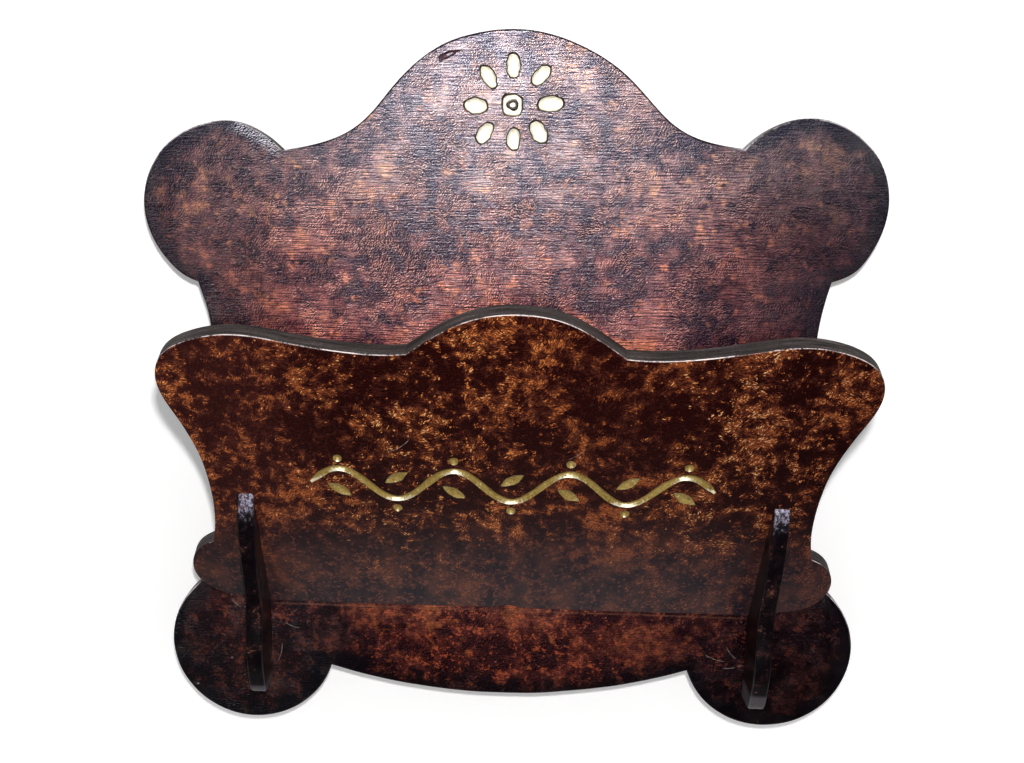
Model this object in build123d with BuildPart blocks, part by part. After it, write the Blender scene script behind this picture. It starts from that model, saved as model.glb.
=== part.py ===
from build123d import *
import os
from math import cos, pi, radians, sin, tan

# A wall letter rack of shaped boards. X runs along the boards, +Z is up and the front
# faces -Y. The origin is the middle of the hanging plate's round hole, on the wall plane.

os.makedirs("parts", exist_ok=True)

# Boards
back_thickness = 6.0
front_thickness = 6.0
bracket_thickness = 6.0

# Back board, with heights above the lowest point of its feet
back_height = 260.0
arch_half_width = 82.0
arch_rise = 40.8
shoulder_lobe_x = 102.9
shoulder_lobe_height = 200.0
shoulder_lobe_radius = 29.1
waist_top_half_width = 116.0
waist_foot_half_width = 95.5
foot_lobe_x = 99.0
foot_lobe_radius = 31.6
apron_height = 11.7
apron_radius = 225.0

# Front board, with distances up its slope from the seam
seam_height = 46.0
lean = 27.0
crest_height = 139.1
crest_half_width = 35.0
crest_rise = 16.6
wing_top_x = 90.5
wing_top_height = 128.8
wing_tip_x = 117.6
wing_tip_height = 110.0
waist_x = 106.2
waist_height = 57.0
small_lobe_x = 103.4
small_lobe_height = 18.2
small_lobe_radius = 15.5
seam_half_width = 94.0

# Brackets, with depths measured out from the board that each stretch lies on
bracket_inner_x = 91.0
bracket_top = 58.4
bracket_drop = 32.5
bracket_depth = 18.2
bracket_toe_depth = 13.2
bracket_toe_rise = 13.5
bracket_toe_round = 3.0

# Pins
pin_radius = 0.7
pin_head_radius = 1.4
pin_head_height = 0.8
pin_tip = 1.6
pin_clearance = 0.03
seam_pin_count = 5
seam_pin_spacing = 40.0
seam_pin_skin = 0.9
foot_pin_spacing = 15.0
foot_pin_skin = 4.0
top_pin_spacing = 18.0
top_pin_grip = 5.5

# Hanging plate
hanger_height = 196.0
plate_length = 42.0
plate_width = 14.0
plate_thickness = 1.2
plate_clearance = 0.1
keyhole_radius = 4.5
keyhole_slot_width = 4.4
keyhole_slot_length = 10.0
keyhole_offset = 4.0
keyhole_pocket_depth = 2.6
keyhole_pocket_margin = 1.2
screw_spacing = 32.0
screw_radius = 1.2
screw_head_radius = 2.4
screw_head_height = 1.0
screw_length = 4.4
screw_tip = 1.2
screw_slot_width = 0.5
screw_slot_depth = 0.4

# Carved ornament
carving_depth = 1.0
rosette_height = 234.6
rosette_radius = 12.7
petal_count = 8
petal_length = 8.4
petal_width = 4.8
eye_radius = 3.6
eye_boss_radius = 2.1
garland_height = 65.0
garland_waves = 7
garland_pitch = 20.0
garland_swing = 7.0
garland_stem_width = 1.9
leaf_length = 9.0
leaf_width = 3.6
leaf_lift = 3.5
berry_radius = 1.3

# Planes
feet_z = -hanger_height
seam_z = feet_z + seam_height
slope = radians(lean)
wall_plane = Plane(origin=(0, 0, feet_z), x_dir=(1, 0, 0), z_dir=(0, -1, 0))
back_face_plane = wall_plane.offset(back_thickness)
front_face_plane = Plane(
    origin=(0, -back_thickness, seam_z), x_dir=(1, 0, 0), z_dir=(0, -cos(slope), -sin(slope))
)
seam_cut_plane = Plane(origin=(0, -back_thickness, 0), x_dir=(1, 0, 0), z_dir=(0, -1, 0))

# Where the pins go
bevel_height = front_thickness / sin(slope)
seam_pin_rise = 0.72 * bevel_height
seam_pin_length = back_thickness + seam_pin_rise * tan(slope) - seam_pin_skin
foot_pin_length = back_thickness + bracket_depth - foot_pin_skin
foot_pin_drop = bracket_drop / 2
top_pin_length = front_thickness + top_pin_grip
top_pin_middle = 0.55 * bracket_top
bracket_middle_x = bracket_inner_x + bracket_thickness / 2


def leaf(length, width):
    """A pointed leaf outline along local X, as two arcs that meet at its ends."""
    with BuildLine() as outline:
        ThreePointArc((-length / 2, 0), (0, width / 2), (length / 2, 0))
        ThreePointArc((length / 2, 0), (0, -width / 2), (-length / 2, 0))
    return make_face(outline.line)


def pin(length):
    """A panel pin along local Z, with its head's top at the origin and its tip at -length."""
    with BuildPart() as shape:
        with BuildSketch(Plane.XZ):
            with BuildLine():
                Polyline(
                    (0, 0), (pin_head_radius, 0), (pin_head_radius, -pin_head_height),
                    (pin_radius, -pin_head_height), (pin_radius, pin_tip - length),
                    (0, -length), close=True,
                )
            make_face()
        revolve(axis=Axis.Z)
    return shape.part


def drill(places, length):
    """Holes for pins of this length, with their heads let in flush at the places given."""
    with Locations(*places):
        Cylinder(
            pin_radius + pin_clearance, length,
            align=(Align.CENTER, Align.CENTER, Align.MAX), mode=Mode.SUBTRACT,
        )
        Cylinder(
            pin_head_radius + pin_clearance, pin_head_height,
            align=(Align.CENTER, Align.CENTER, Align.MAX), mode=Mode.SUBTRACT,
        )


def pins_at(places, length):
    """One pin at each place, as separate solids."""
    return Compound(children=[place * pin(length) for place in places])


def rows(plane, xs, ys):
    """Places on a plane at each pair of local x and y, with Z along the plane's normal."""
    return [plane.location * Location((x, y, 0)) for x in xs for y in ys]


# Places of the pins, on the faces that their heads lie flush in
wall_side = Plane(origin=(0, 0, seam_z), x_dir=(-1, 0, 0), z_dir=(0, 1, 0))
pocket_side = Plane(
    origin=front_face_plane.origin - front_face_plane.z_dir * front_thickness,
    x_dir=(-1, 0, 0), z_dir=-front_face_plane.z_dir,
)
seam_pin_xs = [(i - (seam_pin_count - 1) / 2) * seam_pin_spacing for i in range(seam_pin_count)]
bracket_xs = [-bracket_middle_x, bracket_middle_x]
foot_pin_ys = [-foot_pin_drop - foot_pin_spacing / 2, -foot_pin_drop + foot_pin_spacing / 2]
top_pin_ys = [top_pin_middle - top_pin_spacing / 2, top_pin_middle + top_pin_spacing / 2]
seam_pin_places = rows(wall_side, seam_pin_xs, [seam_pin_rise])
foot_pin_places = rows(wall_side, bracket_xs, foot_pin_ys)
top_pin_places = rows(pocket_side, bracket_xs, top_pin_ys)

# Places of the hanging plate and its screws, on the wall plane
plate_plane = Plane(origin=(0, 0, keyhole_offset), x_dir=(0, 0, 1), z_dir=(0, 1, 0))
screw_places = rows(plate_plane, [-screw_spacing / 2, screw_spacing / 2], [0])


def keyhole(margin):
    """The keyhole's outline on the plate, grown by a margin: a round hole and a slot above it."""
    reach = keyhole_slot_length
    with BuildSketch() as outline:
        with Locations((-keyhole_offset, 0)):
            Circle(keyhole_radius + margin)
        with Locations((-keyhole_offset + reach / 2, 0)):
            SlotCenterToCenter(reach, keyhole_slot_width + 2 * margin)
    return outline.sketch


def apron_point(x):
    """A point of the apron's lower edge, as (across, height above the feet)."""
    return (x, apron_height + apron_radius - (apron_radius ** 2 - x ** 2) ** 0.5)


# Back board: an arched panel on two shoulder lobes and two foot lobes
with BuildPart() as back_board:
    with BuildSketch(wall_plane):
        arch_foot_height = back_height - arch_rise
        with BuildLine():
            Spline(
                (0, back_height),
                (0.27 * arch_half_width, arch_foot_height + 0.88 * arch_rise),
                (0.464 * arch_half_width, arch_foot_height + 0.628 * arch_rise),
                (0.605 * arch_half_width, arch_foot_height + 0.332 * arch_rise),
                (0.735 * arch_half_width, arch_foot_height + 0.13 * arch_rise),
                (arch_half_width, arch_foot_height),
                (shoulder_lobe_x, arch_foot_height - 0.02 * arch_rise),
                tangents=[(1, 0), (1, 0)],
            )
            Line((shoulder_lobe_x, arch_foot_height - 0.02 * arch_rise),
                 (shoulder_lobe_x, shoulder_lobe_height))
            Line((shoulder_lobe_x, shoulder_lobe_height),
                 (waist_top_half_width, shoulder_lobe_height - shoulder_lobe_radius / 2))
            Line((waist_top_half_width, shoulder_lobe_height - shoulder_lobe_radius / 2),
                 (waist_foot_half_width, 2 * foot_lobe_radius - 5))
            Line((waist_foot_half_width, 2 * foot_lobe_radius - 5), (foot_lobe_x, foot_lobe_radius))
            apron_end_x = foot_lobe_x - 0.6 * foot_lobe_radius
            Line((foot_lobe_x, foot_lobe_radius), apron_point(apron_end_x))
            ThreePointArc(apron_point(apron_end_x), apron_point(apron_end_x / 2), apron_point(0))
            Line((0, apron_height), (0, back_height))
        make_face()
        with Locations((shoulder_lobe_x, shoulder_lobe_height)):
            Circle(shoulder_lobe_radius)
        with Locations((foot_lobe_x, foot_lobe_radius)):
            Circle(foot_lobe_radius)
        mirror(about=Plane.YZ)
    extrude(amount=back_thickness)
    # Carved rosette
    with BuildSketch(back_face_plane.offset(-carving_depth)):
        with Locations((0, rosette_height)):
            with PolarLocations(rosette_radius, petal_count, start_angle=90):
                add(leaf(petal_length, petal_width))
            Circle(eye_radius)
            Circle(eye_boss_radius, mode=Mode.SUBTRACT)
    extrude(amount=carving_depth, mode=Mode.SUBTRACT)
    # Recess of the hanging plate, and the pocket behind its keyhole
    with BuildSketch(plate_plane):
        SlotOverall(plate_length + 2 * plate_clearance, plate_width + 2 * plate_clearance)
    extrude(amount=-plate_thickness, mode=Mode.SUBTRACT)
    with BuildSketch(plate_plane.offset(-plate_thickness)):
        add(keyhole(keyhole_pocket_margin))
    extrude(amount=-keyhole_pocket_depth, mode=Mode.SUBTRACT)
    # Pin and screw holes
    drill(seam_pin_places, seam_pin_length)
    drill(foot_pin_places, foot_pin_length)
    with Locations(*screw_places):
        Cylinder(
            screw_radius + pin_clearance, screw_length + pin_clearance,
            align=(Align.CENTER, Align.CENTER, Align.MAX), mode=Mode.SUBTRACT,
        )
back_board.part.label = "back_board"

# Front board: a crested panel with two wings, cut to a bevel where it meets the back board
with BuildPart() as front_board:
    with BuildSketch(front_face_plane):
        notch_height = crest_height - crest_rise
        wing_rise = wing_top_height - notch_height
        wing_reach = wing_tip_x - wing_top_x
        wing_drop = wing_top_height - wing_tip_height
        side_drop = wing_tip_height - waist_height
        side_set = wing_tip_x - waist_x
        with BuildLine():
            Spline(
                (0, crest_height),
                (0.53 * crest_half_width, notch_height + 0.73 * crest_rise),
                (crest_half_width, notch_height),
                tangents=[(1, 0), (0.78, -0.62)],
            )
            Spline(
                (crest_half_width, notch_height),
                (crest_half_width + 22, notch_height + 0.1 * wing_rise),
                (wing_top_x - 16, notch_height + 0.62 * wing_rise),
                (wing_top_x, wing_top_height),
                (wing_top_x + 0.5 * wing_reach, wing_top_height - 0.13 * wing_drop),
                (wing_top_x + 0.84 * wing_reach, wing_top_height - 0.42 * wing_drop),
                (wing_tip_x, wing_tip_height),
                (wing_tip_x - 0.28 * side_set, wing_tip_height - 0.25 * side_drop),
                (wing_tip_x - 0.71 * side_set, wing_tip_height - 0.51 * side_drop),
                (wing_tip_x - 0.93 * side_set, wing_tip_height - 0.75 * side_drop),
                (waist_x, waist_height),
                (small_lobe_x + 0.25 * small_lobe_radius, small_lobe_height + 1.5 * small_lobe_radius),
                (small_lobe_x + 0.45 * small_lobe_radius, small_lobe_height + 0.7 * small_lobe_radius),
            )
            Line((small_lobe_x + 0.45 * small_lobe_radius, small_lobe_height + 0.7 * small_lobe_radius),
                 (small_lobe_x, small_lobe_height))
            Line((small_lobe_x, small_lobe_height),
                 (small_lobe_x, small_lobe_height - 0.98 * small_lobe_radius))
            Line((small_lobe_x, small_lobe_height - 0.98 * small_lobe_radius), (seam_half_width, 0))
            Line((seam_half_width, 0), (0, 0))
            Line((0, 0), (0, crest_height))
        make_face()
        with Locations((small_lobe_x, small_lobe_height)):
            Circle(small_lobe_radius)
        mirror(about=Plane.YZ)
    extrude(amount=-front_thickness)
    split(bisect_by=seam_cut_plane, keep=Keep.TOP)
    # Carved garland: a waving stem with a leaf and a berry in each wave
    with BuildSketch(front_face_plane.offset(-carving_depth)):
        steps = 2 * garland_waves
        stem = []
        for i in range(steps + 1):
            x = (i / steps - 0.5) * garland_waves * garland_pitch
            stem.append((x, garland_height + garland_swing * sin(pi * i / 2)))
        with BuildLine():
            Spline(*stem)
        trace(line_width=garland_stem_width)
        for i in range(garland_waves):
            side = 1 if i % 2 else -1
            middle = (i + 0.5 - garland_waves / 2) * garland_pitch
            place = Location((middle, garland_height + side * leaf_lift, 0), (0, 0, side * 35))
            add(place * leaf(leaf_length, leaf_width))
            with Locations((middle, garland_height - side * (garland_swing + 3.2 * berry_radius))):
                Circle(berry_radius)
    extrude(amount=carving_depth, mode=Mode.SUBTRACT)
    # Pin holes
    drill(seam_pin_places, seam_pin_length)
    drill(top_pin_places, top_pin_length)
front_board.part.label = "front_board"


def on_slope(along, depth):
    """A point out from the front board's face, as (out from the back board, up from the seam)."""
    return (along * sin(slope) + depth * cos(slope), along * cos(slope) - depth * sin(slope))


def bracket(inner_side_x):
    """A bracket whose back edge follows both boards, from its lower X side."""
    plane = Plane(
        origin=(inner_side_x, -back_thickness, seam_z), x_dir=(0, -1, 0), z_dir=(-1, 0, 0)
    )
    top = on_slope(bracket_top, 0)
    with BuildPart() as shape:
        with BuildSketch(plane):
            with BuildLine():
                Spline(
                    top,
                    on_slope(0.915 * bracket_top, 0.19 * bracket_depth),
                    on_slope(0.77 * bracket_top, 0.38 * bracket_depth),
                    on_slope(0.5 * bracket_top, 0.58 * bracket_depth),
                    on_slope(0.28 * bracket_top, 0.69 * bracket_depth),
                    (0.967 * bracket_depth, 0.06 * bracket_drop),
                    (bracket_depth, -0.22 * bracket_drop),
                    (0.985 * bracket_depth, bracket_toe_rise - bracket_drop),
                )
                toe = FilletPolyline(
                    (0.985 * bracket_depth, bracket_toe_rise - bracket_drop),
                    (bracket_toe_depth, -bracket_drop), (0, -bracket_drop),
                    radius=bracket_toe_round,
                )
                Line(toe @ 1, (0, 0))
                Line((0, 0), top)
            make_face()
        extrude(amount=-bracket_thickness)
        drill(foot_pin_places, foot_pin_length)
        drill(top_pin_places, top_pin_length)
    return shape.part


# Brackets: one each side, standing out from both boards
left_bracket = bracket(-bracket_inner_x - bracket_thickness)
left_bracket.label = "left_bracket"
right_bracket = bracket(bracket_inner_x)
right_bracket.label = "right_bracket"

# Hanging plate, let in flush behind the arch
with BuildPart() as hanger_plate:
    with BuildSketch(plate_plane):
        SlotOverall(plate_length, plate_width)
        add(keyhole(0), mode=Mode.SUBTRACT)
    extrude(amount=-plate_thickness)
    with Locations(*screw_places):
        CounterSinkHole(
            radius=screw_radius + pin_clearance, counter_sink_radius=screw_head_radius + pin_clearance,
            depth=plate_thickness,
        )
hanger_plate.part.label = "hanger_plate"


def screw():
    """A countersunk slotted screw along local Z, with its head's top at the origin."""
    with BuildPart() as shape:
        with BuildSketch(Plane.XZ):
            with BuildLine():
                Polyline(
                    (0, 0), (screw_head_radius, 0), (screw_radius, -screw_head_height),
                    (screw_radius, screw_tip - screw_length), (0, -screw_length), close=True,
                )
            make_face()
        revolve(axis=Axis.Z)
        with BuildSketch(Plane.XY.offset(-screw_slot_depth)):
            Rectangle(2 * screw_head_radius, screw_slot_width)
        extrude(amount=screw_slot_depth, mode=Mode.SUBTRACT)
    return shape.part


hanger_screws = Compound(children=[place * screw() for place in screw_places])
hanger_screws.label = "hanger_screws"

# Pins, grouped by length
seam_pins = pins_at(seam_pin_places, seam_pin_length)
seam_pins.label = "seam_pins"
bracket_foot_pins = pins_at(foot_pin_places, foot_pin_length)
bracket_foot_pins.label = "bracket_foot_pins"
bracket_top_pins = pins_at(top_pin_places, top_pin_length)
bracket_top_pins.label = "bracket_top_pins"

export_step(back_board.part, "parts/back_board.step")
export_step(front_board.part, "parts/front_board.step")
export_step(left_bracket, "parts/left_bracket.step")
export_step(right_bracket, "parts/right_bracket.step")
export_step(hanger_plate.part, "parts/hanger_plate.step")
export_step(hanger_screws, "parts/hanger_screws.step")
export_step(seam_pins, "parts/seam_pins.step")
export_step(bracket_foot_pins, "parts/bracket_foot_pins.step")
export_step(bracket_top_pins, "parts/bracket_top_pins.step")
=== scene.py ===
import math

import bmesh
import bpy
import numpy as np
from mathutils import Matrix, Vector, geometry, noise


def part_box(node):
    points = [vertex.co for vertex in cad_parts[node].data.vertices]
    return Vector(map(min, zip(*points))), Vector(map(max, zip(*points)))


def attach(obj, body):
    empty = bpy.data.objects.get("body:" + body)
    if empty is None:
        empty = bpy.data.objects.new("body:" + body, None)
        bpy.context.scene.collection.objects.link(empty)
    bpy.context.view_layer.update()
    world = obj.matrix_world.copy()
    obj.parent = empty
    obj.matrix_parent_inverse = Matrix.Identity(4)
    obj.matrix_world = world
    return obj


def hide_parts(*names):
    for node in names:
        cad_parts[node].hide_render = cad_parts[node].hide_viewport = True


# A wall letter rack of shaped boards with a mottled dark finish and gilded carving. In its frame X
# runs along the boards, +Z is up and -Y is the front. Lengths are in millimetres, but vectors, the
# camera, the lamps and the stage are in metres.

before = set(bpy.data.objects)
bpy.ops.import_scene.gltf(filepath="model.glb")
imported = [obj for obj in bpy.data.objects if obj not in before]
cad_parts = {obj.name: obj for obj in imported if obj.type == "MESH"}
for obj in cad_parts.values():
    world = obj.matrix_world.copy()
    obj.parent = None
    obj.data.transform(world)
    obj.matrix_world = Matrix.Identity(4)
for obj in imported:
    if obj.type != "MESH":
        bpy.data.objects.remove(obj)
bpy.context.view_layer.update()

MM = 0.001
FRONT_WAY, WALL_WAY, LEFT_WAY = Vector((0, -1, 0)), Vector((0, 1, 0)), Vector((-1, 0, 0))

# Without a seed, noise vectors differ each time Blender starts
noise.seed_set(10)

# Reading the CAD's flat sides
FACING = 0.7
MERGE_DISTANCE = 0.002
LEVEL_SLACK = 0.05

# Outlines
OUTLINE_STEP = 1.0
CORNER_TURN = math.radians(25)
SMOOTHING = 2.0
WOBBLE = 0.22
WOBBLE_LENGTH = 24.0

# Rounded edges
ARRIS = 0.62
ARRIS_SPREAD = 0.35
ARRIS_PATCH = 9.0
ARRIS_STEPS = 4
BRACKET_ARRIS = 0.85

# Points inside a flat side, which carry how far it is to the rim
RIM_ROWS = (1.0, 2.2, 3.8, 6.0, 9.0)
GRID = 6.0
HOLLOW_MARGIN = 0.8
FAR_FROM_RIM = 99.0

# The front board and its brackets were glued on askew: turned about the seam's middle and raised
SEAM_MIDDLE = Vector((0.0, -0.006, -0.15))
ASKEW = (Matrix.Translation(SEAM_MIDDLE + Vector((-0.0004, 0.0, 0.0011)))
         @ Matrix.Rotation(math.radians(1.07), 4, "Y") @ Matrix.Translation(-SEAM_MIDDLE))

# Where the saw strayed: a place on the back board's front, how far round it, and the way it strayed
STRAYS = (
    ((-112, -36), 13, (1.7, 0)), ((112, -36), 13, (-0.9, 0)), ((-118, -22), 8, (-0.3, -0.9)),
    ((121, -19), 8, (0.7, -1)), ((45, 42), 18, (0.5, 0.6)), ((-24, 58), 12, (-0.4, 0.7)),
    ((-50, 36), 12, (0.4, -0.4)), ((105, 33), 14, (0, 0.7)), ((-99, 32), 9, (0, 0.8)),
)

# Carving
CARVING_DEPTH = 1
ROSETTE_Z = 38.6
# Each petal's place from the rosette's middle, its length, its width and its lean in degrees
PETALS = (
    ((0.3, 13.2), 9.1, 5.2, 93), ((9.9, 9.9), 8.9, 5.2, 50), ((13.4, 0.3), 9.7, 6, 3),
    ((9.3, -9.3), 8.9, 5.9, 119), ((0.5, -11.6), 8.6, 5.2, 89), ((-9.6, -9.6), 8.7, 5.3, 56),
    ((-12.6, -0.2), 8.9, 5.9, 174), ((-8.3, 9.6), 9.1, 4.9, 120),
)
# Rings of the rosette's eye and of the boss in it: size and depth
EYE_RINGS = ((8, 0), (7.5, 0.5), (7, 0.9), (6.4, 1))
BOSS_RINGS = ((4.2, 1), (3.9, 0.5), (2.1, 0.25), (1.8, 0.9))
NICK_PLACE = (-21.6, 55.8)
NICK_LENGTH = 9
NICK_WIDTH = 2.5
NICK_DEPTH = 0.5
NICK_TURN = math.radians(21)
GARLAND_RISE = 65
GARLAND_WAVES = 7
GARLAND_PITCH = 20
GARLAND_SWING = 7
STEM_WIDTH = 2.8
STEM_POINTS = 190
STEM_TAPER = 0.025
STEM_TIP = 0.12
STEM_WOBBLE = (0.22, 6)
LEAF_LENGTH = 10
LEAF_WIDTH = 4.2
LEAF_LIFT = 3.2
LEAF_TURN = math.radians(35)
BERRY_SIZE = 3.5
BERRY_GAP = 4.6
# How much each cut line wobbles and how long its waves are
PETAL_WOBBLE, EYE_WOBBLE, BOSS_WOBBLE = (0.45, 1.9), (0.6, 2.4), (0.45, 2)
NICK_WOBBLE, LEAF_WOBBLE, BERRY_WOBBLE = (0.7, 1.5), (0.4, 3), (0.3, 2)

# Sections of hollows: sizes, with their shares of the depth and of the gilding
PUNCHED = ((1, 0, 0), (0.95, 0.5, 0), (0.88, 0.92, 0.25), (0.82, 1, 0.95), (0.3, 1, 1))
NICKED = ((1, 0, 0.2), (0.7, 0.7, 1), (0.3, 1, 0.6))
VEINED = ((1, 0, 0.3), (0.93, 0.1, 0.8), (0.5, 0.62, 1), (0.08, 1, 1))
GOUGED = ((1, 0, 0.3), (0.93, 0.08, 0.8), (0.3, 0.86, 1), (0.1, 1, 1))

# Sockets in the boards
PIN_SOCKET_DEPTH = 0.9
PIN_SOCKET_POINTS = 20
PLATE_DEPTH = 1.2
PLATE_POINTS = 90
PLATE_LEAST_RIM = 60
KEYHOLE_FLOOR = 3.8
KEYHOLE_POINTS = 60


class Side:
    """A flat side of a CAD node: its own axes, and the loops of points round it in those axes."""

    def __init__(self, node, out, level=None):
        mesh = bmesh.new()
        mesh.from_mesh(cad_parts[node].data)
        bmesh.ops.remove_doubles(mesh, verts=mesh.verts, dist=MERGE_DISTANCE * MM)
        sides = {}
        for face in mesh.faces:
            if face.normal.dot(out) > FACING:
                offset = face.normal.dot(face.verts[0].co) / MM
                if level is None or abs(offset - level) < LEVEL_SLACK:
                    key = (round(face.normal.y, 2), round(face.normal.z, 2), round(offset, 1))
                    sides.setdefault(key, []).append(face)
        faces = max(sides.values(), key=lambda group: sum(face.calc_area() for face in group))
        widest = max(faces, key=lambda face: face.calc_area())
        self.out = widest.normal.normalized()
        self.across = Vector((1, 0, 0)) if abs(self.out.x) < 0.5 else Vector((0, -1, 0))
        self.up = self.out.cross(self.across)
        self.origin = self.out * self.out.dot(widest.verts[0].co)
        self.loops = self.chains(faces)
        mesh.free()

    def turned(self, matrix):
        """The same side after its whole board has been moved."""
        self.origin = matrix @ self.origin
        turn = matrix.to_3x3()
        self.across, self.up, self.out = turn @ self.across, turn @ self.up, turn @ self.out
        return self

    def flat(self, point):
        """The place of a point in the side's own axes, in millimetres."""
        away = point - self.origin
        return away.dot(self.across) / MM, away.dot(self.up) / MM

    def front_place(self, x, z):
        """The same for a place on the rack's front."""
        return self.flat(Vector((x * MM, self.origin.y, z * MM)))

    def point(self, across, up, depth=0.0):
        """The point at a place on the side, or some way into the board below it."""
        return self.origin + (self.across * across + self.up * up - self.out * depth) * MM

    def chains(self, faces):
        """The closed loops of edges round some faces, longest first, each as an array of places."""
        inside = set(faces)
        ways = {}
        for face in faces:
            for loop in face.loops:
                if sum(1 for other in loop.edge.link_faces if other in inside) == 1:
                    ways.setdefault(loop.vert, []).append(loop.link_loop_next.vert)
        loops = []
        while ways:
            start = here = next(iter(ways))
            chain = []
            while not chain or here is not start:
                chain.append(self.flat(here.co))
                ahead = ways[here].pop()
                if not ways[here]:
                    del ways[here]
                here = ahead
            loops.append(np.array(chain))
        return sorted(loops, key=lambda loop: -length_of(loop))


def steps_of(loop):
    """The way from each point of a closed loop to the next."""
    return np.roll(loop, -1, axis=0) - loop


def length_of(loop):
    return float(np.linalg.norm(steps_of(loop), axis=1).sum())


def turns(loop):
    """How far a closed loop turns at each of its points, in radians."""
    ahead = steps_of(loop)
    behind = np.roll(ahead, 1, axis=0)
    cross = behind[:, 0] * ahead[:, 1] - behind[:, 1] * ahead[:, 0]
    return np.arctan2(cross, (behind * ahead).sum(axis=1))


def spaced(line, count=None):
    """A line's points spaced evenly, in as many steps as asked for, or else an outline step apart."""
    along = np.concatenate([[0], np.cumsum(np.linalg.norm(np.diff(line, axis=0), axis=1))])
    count = count or max(2, round(along[-1] / OUTLINE_STEP))
    even = np.linspace(0, along[-1], count + 1)
    return np.stack([np.interp(even, along, line[:, axis]) for axis in (0, 1)], axis=1)


def resampled(loop, count):
    """A closed loop with so many evenly spaced points."""
    return spaced(np.vstack([loop, loop[:1]]), count)[:-1]


def smooth_outline(loop):
    """A closed outline with evenly spaced points, smooth between its corners, and its corners."""
    corners = np.flatnonzero(np.abs(turns(loop)) > CORNER_TURN)
    loop = np.roll(loop, -corners[0], axis=0)
    corners = list(corners - corners[0]) + [len(loop)]
    closed = np.vstack([loop, loop[:1]])
    spans, starts = [], []
    for first, last in zip(corners[:-1], corners[1:]):
        even = spaced(closed[first:last + 1])
        reach = min(int(3 * SMOOTHING / OUTLINE_STEP), len(even) - 1)
        padded = np.pad(even, ((reach, reach), (0, 0)), "reflect", reflect_type="odd")
        kernel = np.exp(-0.5 * (np.arange(-reach, reach + 1) * OUTLINE_STEP / SMOOTHING) ** 2)
        kernel /= kernel.sum()
        even = np.stack([np.convolve(padded[:, axis], kernel, "valid") for axis in (0, 1)], axis=1)
        starts.append(sum(len(part) for part in spans))
        spans.append(even[:-1])
    return np.vstack(spans), starts


def wobbled(loop, size=WOBBLE, length=WOBBLE_LENGTH, seed=0.0):
    """The loop shaken a little, as a hand-sawn or hand-cut line is."""
    shifts = [noise.noise_vector(Vector((*(place / length), seed)))[:2] for place in loop]
    return loop + size * np.array(shifts)


def strayed(loop, side, strays):
    """The loop pushed about where the saw left its line."""
    moved = loop.copy()
    for place, reach, shift in strays:
        away = loop - np.array(side.front_place(*place))
        moved += np.exp(-(away ** 2).sum(axis=1) / reach ** 2)[:, None] * np.array(shift)
    return moved


def inward(loop):
    """The way into a closed loop from each of its points, longer at corners to keep edges parallel."""
    ahead = steps_of(loop)
    ahead /= np.linalg.norm(ahead, axis=1)[:, None]
    tangent = ahead + np.roll(ahead, 1, axis=0)
    tangent /= np.linalg.norm(tangent, axis=1)[:, None]
    across, up = loop.T
    way_round = np.sign((across * np.roll(up, -1) - up * np.roll(across, -1)).sum())
    normal = np.stack([-tangent[:, 1], tangent[:, 0]], axis=1) * way_round
    half_turn = np.clip((tangent * ahead).sum(axis=1), 0.5, 1)
    return normal / half_turn[:, None]


def inside(points, loops):
    """Which points lie inside an odd number of closed loops."""
    across, up = points.T
    odd = np.zeros(len(points), bool)
    for loop in loops:
        for (ax, ay), (bx, by) in zip(loop, np.roll(loop, -1, axis=0)):
            if ay != by:
                reach = ax + (up - ay) * (bx - ax) / (by - ay)
                odd ^= ((up < ay) != (up < by)) & (across < reach)
    return odd


def rim_distance(points, loop):
    """How far each point is from a closed loop."""
    near = np.full(len(points), np.inf)
    for a, b in zip(loop, np.roll(loop, -1, axis=0)):
        run = b - a
        share = np.clip(((points - a) @ run) / (run @ run), 0, 1)
        near = np.minimum(near, np.linalg.norm(points - a - share[:, None] * run, axis=1))
    return near


def new_object(name, data):
    item = bpy.data.objects.new(name, data)
    bpy.context.scene.collection.objects.link(item)
    return item


def new_mesh_object(name, mesh):
    data = bpy.data.meshes.new(name)
    mesh.to_mesh(data)
    mesh.free()
    return new_object(name, data)


def stand_in(piece, slot, *nodes):
    """Makes a piece ride on the rack in the place of its CAD nodes."""
    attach(piece, "root")
    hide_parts(*nodes)


class Recess:
    """A hollow in a flat side: rings of places with their depths, and what is cut below them.

    The marks say how far the gilding reaches each ring. Without them it follows the depth.
    """

    def __init__(self, rings, material, holes=(), boss=(), marks=None):
        self.rings, self.material, self.holes, self.boss = rings, material, holes, boss
        self.marks = marks or [depth / CARVING_DEPTH for _, depth in rings]


FACE, REVERSE, GILT, EDGE, PALE = range(5)


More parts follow.
